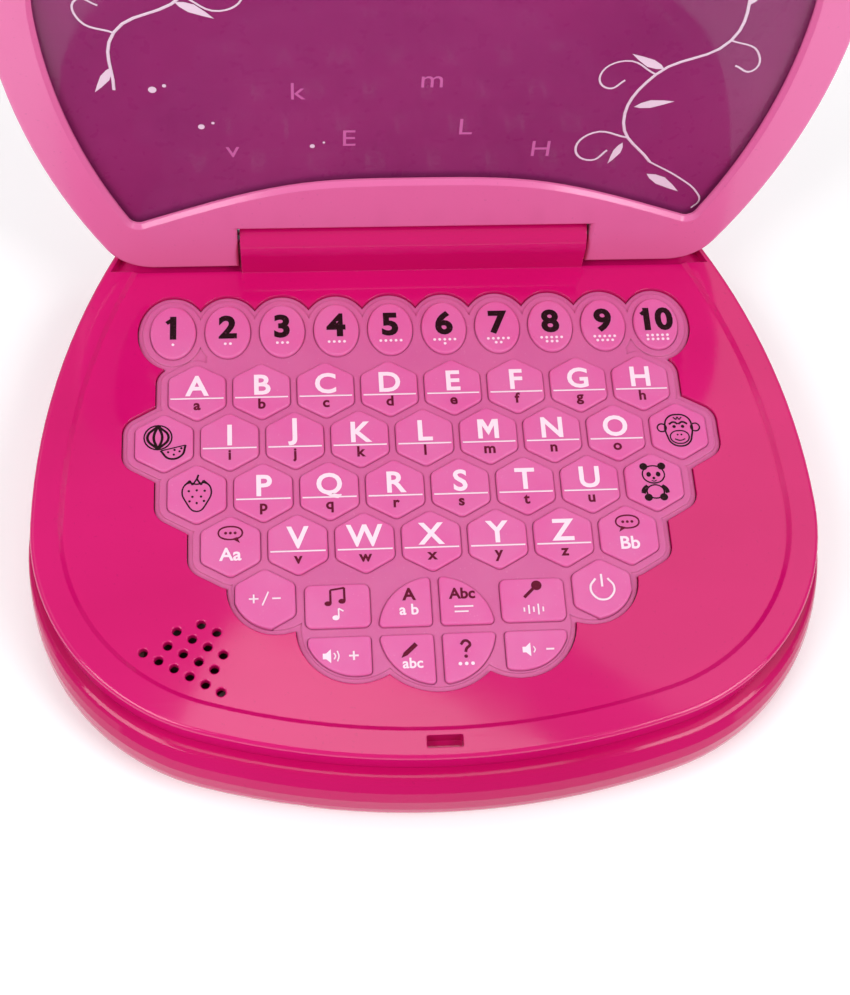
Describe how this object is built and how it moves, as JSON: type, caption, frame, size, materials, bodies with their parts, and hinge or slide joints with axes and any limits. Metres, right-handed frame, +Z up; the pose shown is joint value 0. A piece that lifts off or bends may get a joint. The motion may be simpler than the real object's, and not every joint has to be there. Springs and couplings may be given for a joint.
{
  "type": "toy learning computer",
  "caption": "Pink clamshell learning toy computer with hexagonal soft keys, a round mode pad, a speaker and a lid with a printed screen.",
  "frame": {"origin": "on the floor under the feet, at the middle of the overall width and of the overall depth with the lid standing open", "axes": "+X to the toy's right as the user faces the keys, +Y from the front edge towards the hinge, +Z up"},
  "size_m": [0.2232, 0.1882, 0.1982],
  "materials": {
    "base_plastic": "gloss",
    "lid_plastic": "gloss",
    "keypad_rubber": "satin",
    "clear_plastic": "polished",
    "printed_card": "printed",
    "board": "solder mask",
    "dark_plastic": "matte",
    "cell_jacket": "satin",
    "contact_metal": "plated",
    "screw_steel": "zinc plated",
    "foot_rubber": "matte"
  },
  "bodies": {
    "base": {"base_top_cover": "base_plastic", "base_bottom_cover": "base_plastic", "keypad_mat": "keypad_rubber", "main_circuit_board": "board", "speaker": "dark_plastic", "batteries": "cell_jacket", "battery_contacts": "contact_metal", "rubber_feet": "foot_rubber", "case_screws": "screw_steel", "hinge_pins": "screw_steel"},
    "battery_door": {"battery_door": "base_plastic", "battery_door_screw": "screw_steel"},
    "lid": {"lid_front_bezel": "lid_plastic", "lid_back_shell": "lid_plastic", "lid_screws": "screw_steel", "screen_window": "clear_plastic", "screen_card": "printed_card"},
    "key_letter_a": {"key_letter_a": "keypad_rubber"},
    "key_letter_b": {"key_letter_b": "keypad_rubber"},
    "key_letter_c": {"key_letter_c": "keypad_rubber"},
    "key_letter_d": {"key_letter_d": "keypad_rubber"},
    "key_letter_e": {"key_letter_e": "keypad_rubber"},
    "key_letter_f": {"key_letter_f": "keypad_rubber"},
    "key_letter_g": {"key_letter_g": "keypad_rubber"},
    "key_letter_h": {"key_letter_h": "keypad_rubber"},
    "key_letter_i": {"key_letter_i": "keypad_rubber"},
    "key_letter_j": {"key_letter_j": "keypad_rubber"},
    "key_letter_k": {"key_letter_k": "keypad_rubber"},
    "key_letter_l": {"key_letter_l": "keypad_rubber"},
    "key_letter_m": {"key_letter_m": "keypad_rubber"},
    "key_letter_n": {"key_letter_n": "keypad_rubber"},
    "key_letter_o": {"key_letter_o": "keypad_rubber"},
    "key_letter_p": {"key_letter_p": "keypad_rubber"},
    "key_letter_q": {"key_letter_q": "keypad_rubber"},
    "key_letter_r": {"key_letter_r": "keypad_rubber"},
    "key_letter_s": {"key_letter_s": "keypad_rubber"},
    "key_letter_t": {"key_letter_t": "keypad_rubber"},
    "key_letter_u": {"key_letter_u": "keypad_rubber"},
    "key_letter_v": {"key_letter_v": "keypad_rubber"},
    "key_letter_w": {"key_letter_w": "keypad_rubber"},
    "key_letter_x": {"key_letter_x": "keypad_rubber"},
    "key_letter_y": {"key_letter_y": "keypad_rubber"},
    "key_letter_z": {"key_letter_z": "keypad_rubber"},
    "key_picture_melon": {"key_picture_melon": "keypad_rubber"},
    "key_picture_ape": {"key_picture_ape": "keypad_rubber"},
    "key_picture_strawberry": {"key_picture_strawberry": "keypad_rubber"},
    "key_picture_panda": {"key_picture_panda": "keypad_rubber"},
    "key_mode_language_one": {"key_mode_language_one": "keypad_rubber"},
    "key_mode_language_two": {"key_mode_language_two": "keypad_rubber"},
    "key_mode_music": {"key_mode_music": "keypad_rubber"},
    "key_mode_singing": {"key_mode_singing": "keypad_rubber"},
    "key_mode_letter": {"key_mode_letter": "keypad_rubber"},
    "key_mode_word": {"key_mode_word": "keypad_rubber"},
    "key_mode_spell": {"key_mode_spell": "keypad_rubber"},
    "key_mode_asking": {"key_mode_asking": "keypad_rubber"},
    "key_plus_minus": {"key_plus_minus": "keypad_rubber"},
    "key_power": {"key_power": "keypad_rubber"},
    "key_volume_up": {"key_volume_up": "keypad_rubber"},
    "key_volume_down": {"key_volume_down": "keypad_rubber"},
    "number_keys": {"number_keys": "keypad_rubber"}
  },
  "joints": [
    {"name": "battery_door_pull", "type": "slide", "parent": "base", "child": "battery_door", "axis": [0, 0, -1], "range_m": [0, 0.012]},
    {"name": "lid_hinge", "type": "hinge", "parent": "base", "child": "lid", "pos_m": [0, 0.0763, 0.0353], "axis": [1, 0, 0], "range_deg": [-16, 94]},
    {"name": "press_letter_a", "type": "slide", "parent": "base", "child": "key_letter_a", "axis": [0, 0, -1], "range_m": [0, 0.001], "stiffness_N_per_m": 400},
    {"name": "press_letter_b", "type": "slide", "parent": "base", "child": "key_letter_b", "axis": [0, 0, -1], "range_m": [0, 0.001], "stiffness_N_per_m": 400},
    {"name": "press_letter_c", "type": "slide", "parent": "base", "child": "key_letter_c", "axis": [0, 0, -1], "range_m": [0, 0.001], "stiffness_N_per_m": 400},
    {"name": "press_letter_d", "type": "slide", "parent": "base", "child": "key_letter_d", "axis": [0, 0, -1], "range_m": [0, 0.001], "stiffness_N_per_m": 400},
    {"name": "press_letter_e", "type": "slide", "parent": "base", "child": "key_letter_e", "axis": [0, 0, -1], "range_m": [0, 0.001], "stiffness_N_per_m": 400},
    {"name": "press_letter_f", "type": "slide", "parent": "base", "child": "key_letter_f", "axis": [0, 0, -1], "range_m": [0, 0.001], "stiffness_N_per_m": 400},
    {"name": "press_letter_g", "type": "slide", "parent": "base", "child": "key_letter_g", "axis": [0, 0, -1], "range_m": [0, 0.001], "stiffness_N_per_m": 400},
    {"name": "press_letter_h", "type": "slide", "parent": "base", "child": "key_letter_h", "axis": [0, 0, -1], "range_m": [0, 0.001], "stiffness_N_per_m": 400},
    {"name": "press_letter_i", "type": "slide", "parent": "base", "child": "key_letter_i", "axis": [0, 0, -1], "range_m": [0, 0.001], "stiffness_N_per_m": 400},
    {"name": "press_letter_j", "type": "slide", "parent": "base", "child": "key_letter_j", "axis": [0, 0, -1], "range_m": [0, 0.001], "stiffness_N_per_m": 400},
    {"name": "press_letter_k", "type": "slide", "parent": "base", "child": "key_letter_k", "axis": [0, 0, -1], "range_m": [0, 0.001], "stiffness_N_per_m": 400},
    {"name": "press_letter_l", "type": "slide", "parent": "base", "child": "key_letter_l", "axis": [0, 0, -1], "range_m": [0, 0.001], "stiffness_N_per_m": 400},
    {"name": "press_letter_m", "type": "slide", "parent": "base", "child": "key_letter_m", "axis": [0, 0, -1], "range_m": [0, 0.001], "stiffness_N_per_m": 400},
    {"name": "press_letter_n", "type": "slide", "parent": "base", "child": "key_letter_n", "axis": [0, 0, -1], "range_m": [0, 0.001], "stiffness_N_per_m": 400},
    {"name": "press_letter_o", "type": "slide", "parent": "base", "child": "key_letter_o", "axis": [0, 0, -1], "range_m": [0, 0.001], "stiffness_N_per_m": 400},
    {"name": "press_letter_p", "type": "slide", "parent": "base", "child": "key_letter_p", "axis": [0, 0, -1], "range_m": [0, 0.001], "stiffness_N_per_m": 400},
    {"name": "press_letter_q", "type": "slide", "parent": "base", "child": "key_letter_q", "axis": [0, 0, -1], "range_m": [0, 0.001], "stiffness_N_per_m": 400},
    {"name": "press_letter_r", "type": "slide", "parent": "base", "child": "key_letter_r", "axis": [0, 0, -1], "range_m": [0, 0.001], "stiffness_N_per_m": 400},
    {"name": "press_letter_s", "type": "slide", "parent": "base", "child": "key_letter_s", "axis": [0, 0, -1], "range_m": [0, 0.001], "stiffness_N_per_m": 400},
    {"name": "press_letter_t", "type": "slide", "parent": "base", "child": "key_letter_t", "axis": [0, 0, -1], "range_m": [0, 0.001], "stiffness_N_per_m": 400},
    {"name": "press_letter_u", "type": "slide", "parent": "base", "child": "key_letter_u", "axis": [0, 0, -1], "range_m": [0, 0.001], "stiffness_N_per_m": 400},
    {"name": "press_letter_v", "type": "slide", "parent": "base", "child": "key_letter_v", "axis": [0, 0, -1], "range_m": [0, 0.001], "stiffness_N_per_m": 400},
    {"name": "press_letter_w", "type": "slide", "parent": "base", "child": "key_letter_w", "axis": [0, 0, -1], "range_m": [0, 0.001], "stiffness_N_per_m": 400},
    {"name": "press_letter_x", "type": "slide", "parent": "base", "child": "key_letter_x", "axis": [0, 0, -1], "range_m": [0, 0.001], "stiffness_N_per_m": 400},
    {"name": "press_letter_y", "type": "slide", "parent": "base", "child": "key_letter_y", "axis": [0, 0, -1], "range_m": [0, 0.001], "stiffness_N_per_m": 400},
    {"name": "press_letter_z", "type": "slide", "parent": "base", "child": "key_letter_z", "axis": [0, 0, -1], "range_m": [0, 0.001], "stiffness_N_per_m": 400},
    {"name": "press_picture_melon", "type": "slide", "parent": "base", "child": "key_picture_melon", "axis": [0, 0, -1], "range_m": [0, 0.001], "stiffness_N_per_m": 400},
    {"name": "press_picture_ape", "type": "slide", "parent": "base", "child": "key_picture_ape", "axis": [0, 0, -1], "range_m": [0, 0.001], "stiffness_N_per_m": 400},
    {"name": "press_picture_strawberry", "type": "slide", "parent": "base", "child": "key_picture_strawberry", "axis": [0, 0, -1], "range_m": [0, 0.001], "stiffness_N_per_m": 400},
    {"name": "press_picture_panda", "type": "slide", "parent": "base", "child": "key_picture_panda", "axis": [0, 0, -1], "range_m": [0, 0.001], "stiffness_N_per_m": 400},
    {"name": "press_mode_language_one", "type": "slide", "parent": "base", "child": "key_mode_language_one", "axis": [0, 0, -1], "range_m": [0, 0.001], "stiffness_N_per_m": 400},
    {"name": "press_mode_language_two", "type": "slide", "parent": "base", "child": "key_mode_language_two", "axis": [0, 0, -1], "range_m": [0, 0.001], "stiffness_N_per_m": 400},
    {"name": "press_mode_music", "type": "slide", "parent": "base", "child": "key_mode_music", "axis": [0, 0, -1], "range_m": [0, 0.001], "stiffness_N_per_m": 400},
    {"name": "press_mode_singing", "type": "slide", "parent": "base", "child": "key_mode_singing", "axis": [0, 0, -1], "range_m": [0, 0.001], "stiffness_N_per_m": 400},
    {"name": "press_mode_letter", "type": "slide", "parent": "base", "child": "key_mode_letter", "axis": [0, 0, -1], "range_m": [0, 0.001], "stiffness_N_per_m": 400},
    {"name": "press_mode_word", "type": "slide", "parent": "base", "child": "key_mode_word", "axis": [0, 0, -1], "range_m": [0, 0.001], "stiffness_N_per_m": 400},
    {"name": "press_mode_spell", "type": "slide", "parent": "base", "child": "key_mode_spell", "axis": [0, 0, -1], "range_m": [0, 0.001], "stiffness_N_per_m": 400},
    {"name": "press_mode_asking", "type": "slide", "parent": "base", "child": "key_mode_asking", "axis": [0, 0, -1], "range_m": [0, 0.001], "stiffness_N_per_m": 400},
    {"name": "press_plus_minus", "type": "slide", "parent": "base", "child": "key_plus_minus", "axis": [0, 0, -1], "range_m": [0, 0.001], "stiffness_N_per_m": 400},
    {"name": "press_power", "type": "slide", "parent": "base", "child": "key_power", "axis": [0, 0, -1], "range_m": [0, 0.001], "stiffness_N_per_m": 400},
    {"name": "press_volume_up", "type": "slide", "parent": "base", "child": "key_volume_up", "axis": [0, 0, -1], "range_m": [0, 0.001], "stiffness_N_per_m": 400},
    {"name": "press_volume_down", "type": "slide", "parent": "base", "child": "key_volume_down", "axis": [0, 0, -1], "range_m": [0, 0.001], "stiffness_N_per_m": 400},
    {"name": "press_number_keys", "type": "slide", "parent": "base", "child": "number_keys", "axis": [0, 0, -1], "range_m": [0, 0.001], "stiffness_N_per_m": 400}
  ]
}
